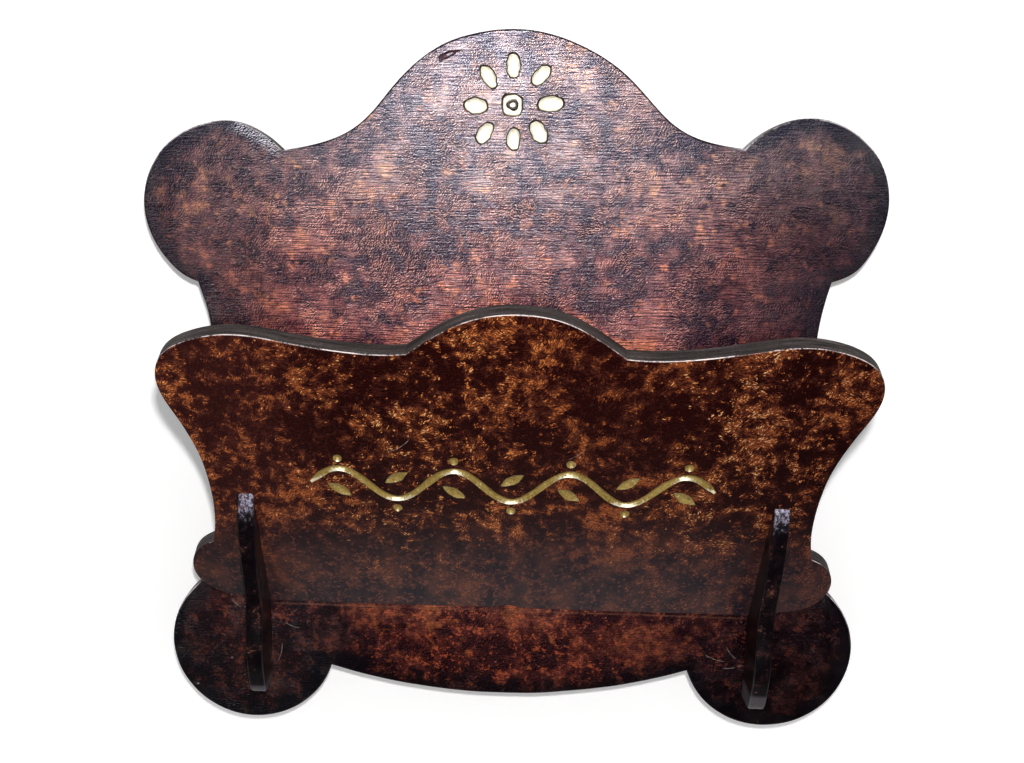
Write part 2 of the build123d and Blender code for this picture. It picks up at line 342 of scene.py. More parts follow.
class Board:
    """A board built up from one flat side, with rounded edges and hollows in both sides."""

    def __init__(self, side, thickness, arris=ARRIS, strays=()):
        self.side, self.thickness, self.arris = side, thickness, arris
        self.mesh = bmesh.new()
        self.layers = {name: self.mesh.verts.layers.float.new(name) for name in ("rim", "edge", "cut")}
        outline, self.corners = smooth_outline(side.loops[0])
        self.outline = wobbled(strayed(outline, side, strays))

    def vert(self, place, depth, **marks):
        vert = self.mesh.verts.new(self.side.point(*place, depth))
        for name, value in marks.items():
            vert[self.layers[name]] = value
        return vert

    def flats(self, rings):
        return [np.array([self.side.flat(vert.co) for vert in ring]) for ring in rings]

    def bridge(self, rings, material):
        """Faces between each two rings of a row, which all have as many points."""
        for first, second in zip(rings[:-1], rings[1:]):
            for i in range(len(first)):
                j = (i + 1) % len(first)
                face = self.mesh.faces.new((first[i], first[j], second[j], second[i]))
                face.smooth = True
                face.material_index = material

    def cap(self, rings, depth, material, points=(), cut=0.0):
        """A flat side within the first ring, with holes at the others, through given points too."""
        loops = self.flats(rings)
        places = [Vector(place) for loop in [*loops, points] for place in loop]
        edges, start = [], 0
        for loop in loops:
            edges += [(start + i, start + (i + 1) % len(loop)) for i in range(len(loop))]
            start += len(loop)
        spots, _, triangles, sources, *_ = geometry.delaunay_2d_cdt(places, edges, [], 0, 1e-5)
        middles = np.array([sum((spots[i] for i in tri), Vector((0, 0))) / 3 for tri in triangles])
        spots = np.array(spots)
        known = [vert for ring in rings for vert in ring]
        verts = []
        for spot, rim, own in zip(spots, rim_distance(spots, self.outline), sources):
            own = [known[source] for source in own if source < len(known)]
            verts.append(own[0] if own else self.vert(spot, depth, rim=float(rim), cut=cut))
        for tri, wanted in zip(triangles, inside(middles, loops)):
            if wanted:
                face = self.mesh.faces.new([verts[i] for i in tri])
                face.material_index = material
                face.smooth = False

    def hollow(self, recess, face_depth, into):
        """Cuts a recess into the side at a depth, and returns its mouth there."""
        def cut_rings(rings, marks):
            return [[self.vert(place, face_depth + into * depth, cut=mark, rim=FAR_FROM_RIM)
                     for place in places] for (places, depth), mark in zip(rings, marks)]

        rings = cut_rings(recess.rings, recess.marks)
        self.bridge(rings, recess.material)
        floor_rings = [rings[-1]] + [self.hollow(hole, face_depth, into) for hole in recess.holes]
        if recess.boss:
            steps = cut_rings(recess.boss, [depth / CARVING_DEPTH for _, depth in recess.boss])
            self.bridge(steps, recess.material)
            floor_rings.append(steps[0])
            top = recess.boss[-1][1]
            self.cap([steps[-1]], face_depth + into * top, recess.material, cut=top / CARVING_DEPTH)
        floor = face_depth + into * recess.rings[-1][1]
        self.cap(floor_rings, floor, recess.material, cut=recess.marks[-1])
        return rings[0]

    def build(self, front=(), back=()):
        """The whole board: rounded rim, front with its hollows, back with its hollows."""
        way = inward(self.outline)
        rough = [noise.noise(Vector((*(place / ARRIS_PATCH), 4.0))) for place in self.outline]
        radii = self.arris * (1 + ARRIS_SPREAD * np.array(rough))
        rings = []
        steps = list(range(ARRIS_STEPS + 1))
        for step, behind in [(step, False) for step in steps] + [(step, True) for step in steps[::-1]]:
            angle = math.pi / 2 * step / ARRIS_STEPS
            places = self.outline + way * radii[:, None] * (1 - math.sin(angle))
            depths = radii * (1 - math.cos(angle))
            depths = self.thickness - depths if behind else depths
            edge = 1.0 if behind else step / ARRIS_STEPS
            rings.append([self.vert(place, depth, edge=edge) for place, depth in zip(places, depths)])
        self.bridge(rings[:ARRIS_STEPS], FACE)
        self.bridge(rings[ARRIS_STEPS - 1:], EDGE)
        for first, second in zip(rings[:-1], rings[1:]):
            for corner in self.corners:
                self.mesh.edges.get((first[corner], second[corner])).smooth = False
        for ring, depth, into, recesses, material in (
            (rings[0], 0.0, 1, front, FACE), (rings[-1], self.thickness, -1, back, REVERSE),
        ):
            mouths = [ring] + [self.hollow(recess, depth, into) for recess in recesses]
            self.cap(mouths, depth, material, points=self.inner_points(way, self.flats(mouths)))
        bmesh.ops.recalc_face_normals(self.mesh, faces=self.mesh.faces)
        return self

    def inner_points(self, way, loops):
        """Points inside the outline, in rows along the rim and then in a loose grid."""
        points = []
        for row in RIM_ROWS:
            places = (self.outline + way * row)[::max(1, round(0.7 * row))]
            points.append(places[rim_distance(places, self.outline) > 0.9 * row])
        low, high = self.outline.min(axis=0), self.outline.max(axis=0)
        across, up = np.meshgrid(np.arange(low[0], high[0], GRID), np.arange(low[1], high[1], GRID))
        across = across + 0.5 * GRID * (np.arange(up.shape[0]) % 2)[:, None]
        grid = np.stack([across.ravel(), up.ravel()], axis=1)
        points.append(grid[rim_distance(grid, self.outline) > RIM_ROWS[-1] + 0.4 * GRID])
        points = np.vstack(points)
        points = points[inside(points, loops)]
        for loop in loops[1:]:
            points = points[rim_distance(points, loop) > HOLLOW_MARGIN]
        return points

    def piece(self, name, materials, slot, node):
        """The finished object, in the place of its CAD node."""
        piece = new_mesh_object(name, self.mesh)
        for material in materials:
            piece.data.materials.append(material)
        stand_in(piece, slot, node)


def placed(across, up, centre, turn):
    """A shape's places after it is turned and moved."""
    cosine, sine = math.cos(turn), math.sin(turn)
    turned = (across * cosine - up * sine, across * sine + up * cosine)
    return np.array(centre) + np.stack(turned, axis=1)


def ellipse(centre, length, width, turn=0.0, count=28, fullness=1.0):
    """An oval as a closed loop of places, squarer with a smaller fullness."""
    angles = np.linspace(0, 2 * math.pi, count, endpoint=False)
    cosines, sines = np.cos(angles), np.sin(angles)
    across = length / 2 * np.sign(cosines) * np.abs(cosines) ** fullness
    up = width / 2 * np.sign(sines) * np.abs(sines) ** fullness
    return placed(across, up, centre, turn)


def leaf(centre, length, width, turn, count=12, fat_end=1.0):
    """A pointed leaf as a closed loop of places, fatter at its first end with a smaller fat_end."""
    share = 0.5 - 0.5 * np.cos(np.linspace(0, math.pi, count, endpoint=False))
    across = np.concatenate([share - 0.5, 0.5 - share]) * length
    share = np.concatenate([share, 1 - share]) ** fat_end
    up = np.sin(math.pi * share) ** 0.8 * np.repeat((1, -1), count) * width / 2
    return placed(across, up, centre, turn)


def bowl(loop, centre, profile, depth=CARVING_DEPTH, material=GILT):
    """A hollow whose section follows a profile."""
    centre = np.array(centre)
    rings = [(centre + (loop - centre) * size, depth * share) for size, share, _ in profile]
    return Recess(rings, material, marks=[gilt for _, _, gilt in profile])


def rosette(side):
    """Eight petals round an eye with a boss in it, and a nick beside them."""
    _, middle = side.front_place(0, ROSETTE_Z)
    recesses = []
    for i, ((across, up), length, width, lean) in enumerate(PETALS):
        centre = (across, middle + up)
        loop = ellipse(centre, length, width, math.radians(lean), count=36, fullness=0.9)
        recesses.append(bowl(wobbled(loop, *PETAL_WOBBLE, seed=i), centre, PUNCHED, material=PALE))
    eye = [(wobbled(ellipse((0, middle), size, size, fullness=0.8), *EYE_WOBBLE, seed=5), depth)
           for size, depth in EYE_RINGS]
    boss = [(wobbled(ellipse((0, middle), size, size), *BOSS_WOBBLE, seed=8), depth)
            for size, depth in BOSS_RINGS]
    recesses.append(Recess(eye, PALE, boss=boss, marks=(0.0, 0.1, 0.55, 1.0)))
    nick = side.front_place(*NICK_PLACE)
    loop = leaf(nick, NICK_LENGTH, NICK_WIDTH, NICK_TURN, count=20, fat_end=0.5)
    recesses.append(bowl(wobbled(loop, *NICK_WOBBLE), nick, NICKED, depth=NICK_DEPTH, material=FACE))
    return recesses


def stem(middle):
    """A waving gouge cut with tapered ends."""
    half = GARLAND_WAVES * GARLAND_PITCH / 2
    across = np.linspace(-half, half, STEM_POINTS)
    up = middle + GARLAND_SWING * np.sin(math.pi * (across + half) / GARLAND_PITCH)
    line = np.stack([across, up], axis=1)
    along = np.gradient(line, axis=0)
    along /= np.linalg.norm(along, axis=1)[:, None]
    normal = np.stack([-along[:, 1], along[:, 0]], axis=1)
    share = (across + half) / (2 * half)
    taper = np.clip(np.minimum(share, 1 - share) / STEM_TAPER, STEM_TIP, 1) ** 0.5
    wobble, length = STEM_WOBBLE
    uneven = np.array([1 + wobble * noise.noise(Vector((x / length, 0, 2))) for x in across])
    away = normal * (STEM_WIDTH / 2 * taper * uneven)[:, None]
    rings = [(np.vstack([line - away * size, (line + away * size)[::-1]]), depth * CARVING_DEPTH)
             for size, depth, _ in GOUGED]
    return Recess(rings, GILT, marks=[gilt for _, _, gilt in GOUGED])


def garland(side, seam):
    """A waving stem with a leaf and a berry in each wave."""
    middle = side.flat(seam)[1] + GARLAND_RISE
    recesses = [stem(middle)]
    for i in range(GARLAND_WAVES):
        way = 1 if i % 2 else -1
        across = (i + 0.5 - GARLAND_WAVES / 2) * GARLAND_PITCH
        centre = (across, middle + way * LEAF_LIFT)
        loop = leaf(centre, LEAF_LENGTH, LEAF_WIDTH, way * LEAF_TURN)
        recesses.append(bowl(wobbled(loop, *LEAF_WOBBLE, seed=i), centre, VEINED))
        centre = (across, middle - way * (GARLAND_SWING + BERRY_GAP))
        loop = ellipse(centre, BERRY_SIZE, BERRY_SIZE, count=16)
        recesses.append(bowl(wobbled(loop, *BERRY_WOBBLE, seed=i + 20), centre, VEINED))
    return recesses


def socket(loop, depth, count, holes=()):
    """A straight-sided hollow with a flat floor."""
    loop = resampled(loop, count)
    return Recess([(loop, 0.0), (loop, depth)], REVERSE, holes=holes)


def onto(side, other, loop):
    """A loop given in another side's axes, in this side's own."""
    return np.array([side.flat(other.point(across, up)) for across, up in loop])


class Value:
    """What a node gives out, with the sums that further nodes make of it."""

    def __init__(self, nodes, socket):
        self.nodes, self.socket = nodes, socket

    def __mul__(self, other):
        return self.nodes.math("MULTIPLY", self, other)

    def __add__(self, other):
        return self.nodes.math("ADD", self, other)

    def __sub__(self, other):
        return self.nodes.math("SUBTRACT", self, other)

    def __abs__(self):
        return self.nodes.math("ABSOLUTE", self)

    def most(self, other):
        return self.nodes.math("MAXIMUM", self, other)

    def rise(self, low, high, start=0.0, end=1.0, curve="SMOOTHSTEP"):
        """The start below low, the end above high and smooth between them."""
        return self.nodes.out("MapRange", {
            "Value": self, "From Min": low, "From Max": high, "To Min": start, "To Max": end},
            interpolation_type=curve)


class Nodes:
    """A node tree that starts empty. Most methods add a node and return a value that it gives out."""

    def __init__(self, tree):
        self.tree = tree
        tree.nodes.clear()

    def add(self, kind, inputs=None, **settings):
        node = self.tree.nodes.new("ShaderNode" + kind)
        for name, value in settings.items():
            setattr(node, name, value)
        for name, value in (inputs or {}).items():
            if isinstance(value, Value):
                self.tree.links.new(value.socket, node.inputs[name])
            else:
                node.inputs[name].default_value = value
        return node

    def outs(self, kind, inputs=None, **settings):
        """All the values that a new node gives out, by number and by name."""
        outputs = enumerate(self.add(kind, inputs, **settings).outputs)
        return {key: Value(self, socket) for i, socket in outputs for key in (i, socket.name)}

    def out(self, kind, inputs=None, output=0, **settings):
        return self.outs(kind, inputs, **settings)[output]

    def math(self, operation, *values):
        return self.out("Math", dict(enumerate(values)), operation=operation)

    def vector(self, operation, *values, output=0):
        return self.out("VectorMath", dict(enumerate(values)), output, operation=operation)


class Paint(Nodes):
    """One material's nodes, and the colour that is built up in them layer by layer."""

    def __init__(self, name, tilt=0.0):
        self.material = bpy.data.materials.new(name)
        self.material.use_nodes = True
        super().__init__(self.material.node_tree)
        here = self.out("TexCoord", output="Object")
        self.place = self.out("Mapping", {
            "Vector": here, "Scale": (1 / MM,) * 3, "Rotation": (tilt, 0, 0)})
        self.across, _, self.level = (part * (1 / MM) for part in self.parts(here))
        self.colour = None

    def finish(self, **inputs):
        """Makes the shader, with the colour and with inputs named with underscores for spaces."""
        inputs = {name.replace("_", " "): value for name, value in inputs.items()}
        shader = self.out("BsdfPrincipled", {"Base Color": self.colour, **inputs})
        self.add("OutputMaterial", {"Surface": shader})
        return self.material

    def mix(self, share, first, second, blend="MIX"):
        tones = ((*tone, 1) if isinstance(tone, tuple) else tone for tone in (first, second))
        inputs = {0: share, **dict(zip((6, 7), tones))}
        return self.out("Mix", inputs, 2, data_type="RGBA", blend_type=blend)

    def over(self, share, tone, blend="MIX"):
        """Lays a tone over the colour so far."""
        self.colour = self.mix(share, self.colour, tone, blend)

    def filter(self, share, tone):
        """Multiplies the colour so far by a tone."""
        self.over(share, tone, "MULTIPLY")

    def ramp(self, value, *stops):
        """A colour for the value, from stops that are each a position and its colour."""
        node = self.add("ValToRGB", {"Fac": value})
        node.color_ramp.interpolation = "EASE"
        elements = node.color_ramp.elements
        while len(elements) < len(stops):
            elements.new(0.5)
        for element, (position, *colour) in zip(elements, stops):
            element.position = position
            element.color = (*colour, 1)
        return Value(self, node.outputs[0])

    def mark(self, name):
        return self.out("Attribute", output="Fac", attribute_name=name)

    def parts(self, vector):
        outputs = self.outs("SeparateXYZ", {0: vector})
        return [outputs[axis] for axis in range(3)]

    def up(self):
        """How far the surface faces up."""
        return self.parts(self.out("NewGeometry", output="Normal"))[2]

    def bump(self, height, depth):
        return self.out("Bump", {"Height": height, "Distance": depth * MM, "Strength": 1.0})

    def turn(self, vector, angle):
        return self.out("VectorRotate", {"Vector": vector, "Angle": angle}, rotation_type="Y_AXIS")

    def stretched(self, sizes, vector=None, shift=(0, 0, 0)):
        """The place divided by a size along each axis, so that a pattern has that size."""
        scale = tuple(1 / size for size in sizes)
        return self.out("Mapping", {"Vector": vector or self.place, "Scale": scale, "Location": shift})

    def noise(self, size, detail=2.0, roughness=0.6, vector=None, shift=(0, 0, 0), distortion=0.0):
        sizes = size if isinstance(size, tuple) else (size,) * 3
        return self.out("TexNoise", {
            "Vector": self.stretched(sizes, vector, shift), "Scale": 1.0, "Detail": detail,
            "Roughness": roughness, "Distortion": distortion})

    def embossed(self, size, shift, vector=None, lift=0.4):
        """Fine relief as it looks when lit from above: over a half on the slopes that face up."""
        here = self.noise(size, vector=vector, shift=shift)
        return here - self.noise(size, vector=vector, shift=(*shift[:2], shift[2] + lift)) + 0.5

    def cells(self, vector):
        """Two random values for each cell, and the distance to its middle."""
        cell = self.outs("TexVoronoi", {"Vector": vector, "Scale": 1.0})
        values = self.outs("SeparateColor", {0: cell["Color"]})
        return values[0], values[1], cell["Distance"]

    def brushed(self, patch, lean, spread):
        """The place turned one way within each patch, as the hairs of a brush lie in each dab."""
        where = self.stretched((patch,) * 3)
        bent = self.out("TexNoise", {"Vector": where, "Scale": 1.0, "Detail": 2.0}, output=1)
        bent = self.vector("MULTIPLY", bent, (1.1, 1.1, 1.1))
        value, _, _ = self.cells(self.vector("ADD", where, bent))
        return self.turn(self.place, value * spread + (lean - spread / 2))

    def strokes(self, brushed, length, width, low, high, shift=0.0):
        """Separate strokes of uneven brightness along such a turned place."""
        kink = self.noise((length, length, 3 * width), vector=brushed, shift=(shift, 2, shift))
        where = self.stretched((length, 1.0, width), brushed, shift=(shift, shift, 0))
        _, tone, distance = self.cells(self.vector("ADD", where, kink))
        return distance.rise(low, high) * (tone * tone * 0.85 + 0.15)

    def specks(self, gap, size, shift):
        """Scattered round specks."""
        _, _, distance = self.cells(self.stretched((gap,) * 3, shift=(shift,) * 3))
        return distance.rise(size / gap, 0.5 * size / gap)

    def scratch(self, across, up, length, lean, width=0.13):
        """One thin scratch or stray hair at a place on the front, slightly bowed."""
        away = self.vector("SUBTRACT", self.place, (across, 0, up))
        along, _, off = self.parts(self.turn(away, math.radians(lean)))
        line = abs(off - along * along * (0.35 / length)).rise(width, 0.3 * width)
        broken = self.noise(1.3, shift=(up, 0, across)).rise(0.3, 0.62)
        return line * broken * abs(along).rise(0.5 * length, 0.3 * length)

    def scratched(self, specks, scratches):
        """Specks together with scratches."""
        for scratch in scratches:
            specks = specks.most(self.scratch(*scratch))
        return specks

    def distance(self, across, up):
        """How far it is, seen from the front, to a place."""
        away = self.vector("SUBTRACT", self.place, (across, 0, up))
        return self.vector("LENGTH", self.vector("MULTIPLY", away, (1, 0, 1)), output="Value")

    def near(self, across, up, reach):
        """1 at a place on the front, fading out at a distance from it."""
        return self.distance(across, up).rise(reach, 0.4 * reach)

    def wear_and_highlight(self, edge, fine):
        """Where the arris along an upper edge is rubbed, painted lighter as a highlight where it faces
        up.
        """
        patchy = (self.noise(11, 3.0, shift=(6, 1, 9)) + fine * 0.5).rise(0.62, 0.86)
        return edge.rise(0.02, 0.3) * edge.rise(0.95, 0.55) * patchy * self.up().rise(0.0, 0.35)

    def edging(self, fine):
        """Thin satin paint over end grain."""
        streaks = self.noise((22, 1.1, 22), 3.0, shift=(2, 5, 2))
        return self.ramp(
            streaks * 0.7 + fine * 0.3,
            (0.38, 0.02, 0.016, 0.016), (0.52, 0.052, 0.042, 0.04), (0.68, 0.15, 0.125, 0.118))


# Places on the rack that the back board's finish follows
LIGHTER_MIDDLE = (0, -12)
LIGHTER_REACH = 220
LOBE_SHINE = (-90.5, 27, 12)
SEAM_LEVEL = -149.1
SEAM_SLOPE = 0.0187
# Places darkened as painted shade: across, up and reach, and the tone
RIGHT_SHADE = (99, -30, 50)
SHADED_PLACES = (
    ((-104, -34, 38), (0.72, 0.66, 0.66)), (RIGHT_SHADE, (0.62, 0.52, 0.54)),
    ((-72, -165, 24), (0.52, 0.56, 0.66)),
)

# Scratches and stray hairs: place across and up, length and lean in degrees
BACK_SCRATCHES = (
    (-83.9, -157.4, 7.5, -23), (-88.2, -168.5, 10, 77), (-105.2, -148.6, 5, -43),
    (79, -168.5, 9, -20), (85, -166, 7, -52), (86, -172, 8, 12),
)
FRONT_SCRATCHES = ((-37.3, -46.8, 10.5, 38), (23, -49.2, 8.3, 43))

TOE_TOP = -175.5


def back_board_finish():
    paint = Paint("back_board_finish")
    broad = paint.noise(19, 2, 0.5, shift=(3, 0, 8))
    middle = paint.noise(6, 4, 0.62, shift=(1, 0, 2))
    fine = paint.noise(0.9, 2, 0.7)
    lines = paint.noise((9, 3, 0.34), shift=(7, 3, 1))
    rim, edge = paint.mark("rim"), paint.mark("edge")
    across, level = paint.across, paint.level
    away = paint.distance(*LIGHTER_MIDDLE)
    outer = away.rise(75, 108)
    low = level.rise(-138, -150)

    # Mottled ground
    patch = (broad * 0.45 + middle * 0.55 + lines * 0.06).rise(0.45, 0.66)
    paint.colour = paint.ramp(
        patch, (0, 0.01, 0.009, 0.023), (0.35, 0.07, 0.03, 0.039), (0.7, 0.132, 0.062, 0.063),
        (1, 0.2, 0.098, 0.082))
    spots = paint.noise(4.2, 3, shift=(8, 2, 5)) + broad * 0.5
    paint.over(spots.rise(0.82, 0.98) * 0.8, (0.44, 0.23, 0.112))
    mottle = paint.ramp(
        paint.noise((2.4, 2.4, 2), 3, 0.65, shift=(4, 4, 7)),
        (0.38, 0.3, 0.32, 0.42), (0.5, 0.9, 0.9, 0.9), (0.62, 1.9, 1.75, 1.6))
    paint.filter(outer * 0.35 + 0.35, mottle)

    # Dabs of the brush, their relief painted as lit from above: painted highlights on the slopes that
    # face up and painted shade on those that face down
    groups = paint.noise(9, 2, 0.5, shift=(5, 5, 5)) * 0.6 + middle * 0.4
    groups = groups.rise(0.48, 0.56).most(outer * 0.35 + 0.3)
    lay = paint.brushed(8, math.radians(30), math.radians(70))
    lit_stipple = paint.embossed((0.8, 0.65, 0.5), (6, 1, 6), lay)
    dabs_and_highlights = lit_stipple.rise(0.54, 0.63).most(paint.strokes(lay, 3.4, 0.55, 0.32, 0.2)) * groups
    # Hollows: the relief's slopes facing down, painted as shade
    hollows = lit_stipple.rise(0.475, 0.4) * groups
    paint.over(hollows * 0.85, (0.016, 0.01, 0.021))
    # Pale tones of the strokes, and of the relief's painted highlights
    lights = paint.mix(low, (0.7, 0.52, 0.41), (0.42, 0.13, 0.075))
    paint.over(dabs_and_highlights * (outer * -0.3 + 0.75), lights)
    freckles = paint.noise((1.1, 1.1, 0.9), 3, 0.65, shift=(1, 7, 1)) + middle * 0.8
    paint.over(freckles.rise(0.98, 1.08) * low * 0.8, (0.66, 0.25, 0.12))

    # Wood grain under the paint, its ridges painted as lit from above: painted highlights and shade
    # along the grain
    lit_ridges = paint.embossed((8, 3, 0.6), (7, 3, 1))
    shade = paint.ramp(
        lit_ridges * 0.75 + lines * 0.25,
        (0.43, 0.13, 0.13, 0.19), (0.49, 0.95, 0.95, 0.97), (0.56, 1.55, 1.5, 1.5))
    paint.filter((broad.rise(0.42, 0.58) * 0.5 + 0.5) * (outer * -0.65 + 1), shade)
    # Pale specks painted as sparkles of highlight
    paint.over(paint.specks(4, 0.42, 9) * patch.rise(0.9, 0.3) * 0.4, (0.8, 0.66, 0.62))

    # Dark rim with painted highlights of the relief in it, and lighter in the middle and darker
    # further out
    rim_dark = (rim + middle * 14 + fine * 6).rise(18.5, 12) * away.rise(70, 100)
    paint.over(rim_dark * 0.92, (0.005, 0.0055, 0.013))
    paint.over(rim_dark * dabs_and_highlights * (low * -0.35 + 0.4), (0.34, 0.3, 0.38))
    paint.filter(1, paint.ramp(
        away * (1 / LIGHTER_REACH), (0.3, 1.4, 1.08, 1.06), (0.5, 0.76, 0.58, 0.62),
        (0.72, 0.37, 0.2, 0.18), (0.9, 0.15, 0.082, 0.08)))

    # Tones of whole areas
    paint.filter(level.rise(-20, 42), (1.1, 1.26, 1.38))
    warm = level.rise(20, -30) * level.rise(-140, -110)
    paint.filter(warm, (1.15, 0.91, 0.92))
    # Painted shade over these places
    for place, tone in SHADED_PLACES:
        paint.filter(paint.near(*place), tone)
    paint.filter(low * abs(across).rise(82, 22), (1.62, 1.5, 1.14))
    paint.over(low * across.rise(-40, -80), (0.003, 0.003, 0.0035), "ADD")
    # A reddish line painted just below the seam as a highlight
    above_seam = across * SEAM_SLOPE + level - SEAM_LEVEL
    seam = above_seam.rise(-0.2, -0.5) * above_seam.rise(-1.3, -0.7) * abs(across).rise(92, 88)
    paint.over(seam * (fine * 0.5 + middle * 0.5).rise(0.36, 0.56) * 0.7, (0.16, 0.06, 0.036))
    # Darker to the right, as painted shade
    paint.filter(across.rise(35, 115), (0.55, 0.58, 0.66))

    # Scratches, edges and the cut of the carving
    marks = paint.specks(13, 0.5, 2) * level.rise(-140, -150)
    paint.over(paint.scratched(marks, BACK_SCRATCHES) * 0.42, (0.75, 0.68, 0.66))
    # Dark paint along the arris, deepened as painted shade where the edge turns from the light
    paint.over(edge.rise(0, 0.3), (0.006, 0.003, 0.008))
    paint.over(edge.rise(0.4, 0.9), paint.edging(fine))
    # A painted highlight: broken white glints near the left lobe's arris
    shine = paint.near(*LOBE_SHINE) * lit_stipple.rise(0.51, 0.6) * rim.rise(5, 1.5)
    paint.over(shine, (0.9, 0.86, 0.94))
    paint.over(paint.mark("cut").rise(0.02, 0.3), (0.062, 0.026, 0.034))
    # The rubbed upper arris, painted lighter as a highlight where it faces up
    paint.over(paint.wear_and_highlight(edge, fine) * away.rise(80, 92), (0.75, 0.68, 0.72))

    # The gloss breaks up over the relief and is missing from the darker places
    gloss = paint.ramp(
        lit_ridges * 0.55 + lit_stipple * 0.45 + patch * 0.09,
        (0.482, 0.1, 0.1, 0.17), (0.532, 0.76, 0.75, 0.86), (0.585, 1, 0.98, 1))
    gloss = paint.mix(warm, gloss, (1, 0.94, 0.96), "MULTIPLY")
    unlit = (low * 0.75 * across.rise(-92, -50)).most(paint.near(*RIGHT_SHADE) * 0.5)
    gloss = paint.mix(unlit, gloss, (0.1, 0.06, 0.1))
    height = dabs_and_highlights * 0.5 + hollows * -0.35 + fine * 0.2 + lines * 0.9
    return paint.finish(
        Roughness=0.19, Specular_IOR_Level=0.8, Normal=paint.bump(height, 0.055), Specular_Tint=gloss)


def front_board_finish(tilt):
    paint = Paint("front_board_finish", tilt)
    broad = paint.noise(16, 2, 0.5, shift=(5, 0, 1))
    middle = paint.noise(4.8, 4, 0.62, shift=(9, 0, 4))
    fine = paint.noise(0.8, 2, 0.7)
    edge = paint.mark("edge")
    high = paint.level.rise(-138, -96)

    # Mottled ground
    patch = (broad * 0.4 + middle * 0.6).rise(0.41, 0.63)
    clumps = paint.noise(3, 3) * 0.5 + broad * 0.25 + middle * 0.25
    clumps = clumps.rise(0.49, 0.57) * (high * 0.6 + 0.4)
    paint.colour = paint.ramp(
        patch * 0.65 + clumps * 0.35, (0, 0.0165, 0.0018, 0.0014), (0.3, 0.034, 0.0056, 0.0034),
        (0.6, 0.074, 0.017, 0.0072), (1, 0.2, 0.05, 0.015))
    lay = paint.brushed(5.5, math.radians(28), math.radians(120))
    # The brush's relief painted as lit from above: painted highlights and shade
    shade = paint.ramp(
        paint.embossed((1.5, 1.2, 0.62), (8, 0, 8), lay),
        (0.43, 0.28, 0.28, 0.32), (0.5, 0.85, 0.85, 0.85), (0.58, 2.6, 2.6, 2.4))
    paint.filter(patch * 0.35 + 0.4, shade)

    # Strokes of the brush, brighter where there are more
    hairs = paint.strokes(lay, 2.3, 0.62, 0.34, 0.2)
    hairs = hairs.most(paint.strokes(lay, 1.2, 0.5, 0.35, 0.2, shift=31))
    amount = hairs * (clumps * 0.95 + patch * 0.2)
    for start, end, tone in (
        (0.03, 0.2, (0.34, 0.08, 0.018)), (0.2, 0.48, (0.82, 0.27, 0.06)),
        (0.48, 0.8, (1, 0.64, 0.28)),
    ):
        paint.over(amount.rise(start, end), tone)
    gaps = paint.noise((1.3, 1.3, 0.8), shift=(3, 3, 3))
    paint.over(gaps.rise(0.55, 0.66) * 0.6, (0.013, 0.0022, 0.0018))

    # A grey haze painted towards the foot as a reflection, paler on the left wing and darker on the
    # right
    painted_haze = paint.ramp(
        paint.noise((10, 10, 15), 3, shift=(2, 0, 6)),
        (0.4, 0.018, 0.02, 0.031), (0.5, 0.044, 0.032, 0.037), (0.6, 0.105, 0.048, 0.042))
    paint.over(high * -0.52 + 0.52, painted_haze)
    freckles = paint.noise(1.5, shift=(1, 7, 1)) + middle * 0.3
    paint.over(freckles.rise(0.7, 0.82) * (high * -0.6 + 0.7), (0.17, 0.06, 0.04))
    left = high * paint.across.rise(-55, -95)
    paint.filter(left, (1.2, 1.25, 1.3))
    paint.over(left, (0.009, 0.004, 0.0035), "ADD")
    paint.filter(paint.across.rise(50, 95), (0.74, 0.7, 0.8))

    # Scratches and edges, and the rubbed upper arris painted lighter as a highlight where it faces up
    marks = paint.scratched(paint.specks(17, 0.45, 6) * 0.8, FRONT_SCRATCHES)
    paint.over(marks * 0.6, (0.72, 0.6, 0.52))
    paint.over(edge.rise(0.45, 0.8), paint.edging(fine))
    paint.over(paint.wear_and_highlight(edge, fine), (0.92, 0.8, 0.78))
    normal = paint.bump(amount * 0.6 + fine * 0.4, 0.04)
    return paint.finish(Roughness=0.27, Specular_IOR_Level=0.32, Normal=normal)


def bracket_finish():
    """Near-black gloss paint, with a painted broken glint at the bracket's top, a paler toe painted as
    a reflection and painted highlights along its upper arris.
    """
    paint = Paint("bracket_finish")
    middle = paint.noise(6, 3)
    fine = paint.noise(0.8, 2, 0.7)
    edge = paint.mark("edge")
    flecks = paint.strokes(paint.place, 1.6, 1, 0.4, 0.25, shift=5)
    paint.colour = paint.ramp(
        middle * 0.6 + fine * 0.3 + flecks * 0.12, (0.42, 0.0032, 0.0016, 0.0028),
        (0.51, 0.01, 0.0048, 0.0066), (0.56, 0.036, 0.013, 0.011), (0.64, 0.16, 0.07, 0.045))
    paint.over(paint.wear_and_highlight(edge, fine) * 0.6, (0.15, 0.12, 0.13))
    hazy = (paint.level + fine * 9 + middle * 6).rise(-101.5, -91)
    glint = paint.noise((0.8, 0.8, 1), 3, 0.7, shift=(2, 9, 4)) + hazy * 0.1
    hazy = hazy * edge.rise(0.6, 1) * (paint.across.rise(-20, 20) * 0.35 + 0.65)
    paint.over(hazy * (glint.rise(0.52, 0.74) * 0.97 + 0.03), (0.62, 0.56, 0.74))
    # The toe painted paler as the reflection on its facet
    toe = (paint.level + fine * 1.5).rise(TOE_TOP + 1.5, TOE_TOP - 0.5)
    paint.over(toe * 0.7, (0.11, 0.1, 0.115))
    normal = paint.bump(paint.noise(1.1, shift=(4, 4, 4)), 0.05)
    return paint.finish(Roughness=0.28, Specular_IOR_Level=0.24, Normal=normal)


def edge_finish(name, tilt=0):
    paint = Paint(name, tilt)
    fine = paint.noise(0.8, 2, 0.7)
    paint.colour = paint.edging(fine)
    normal = paint.bump(fine + paint.noise(2.2) * 1.5, 0.05)
    return paint.finish(Roughness=0.5, Specular_IOR_Level=0.25, Normal=normal)


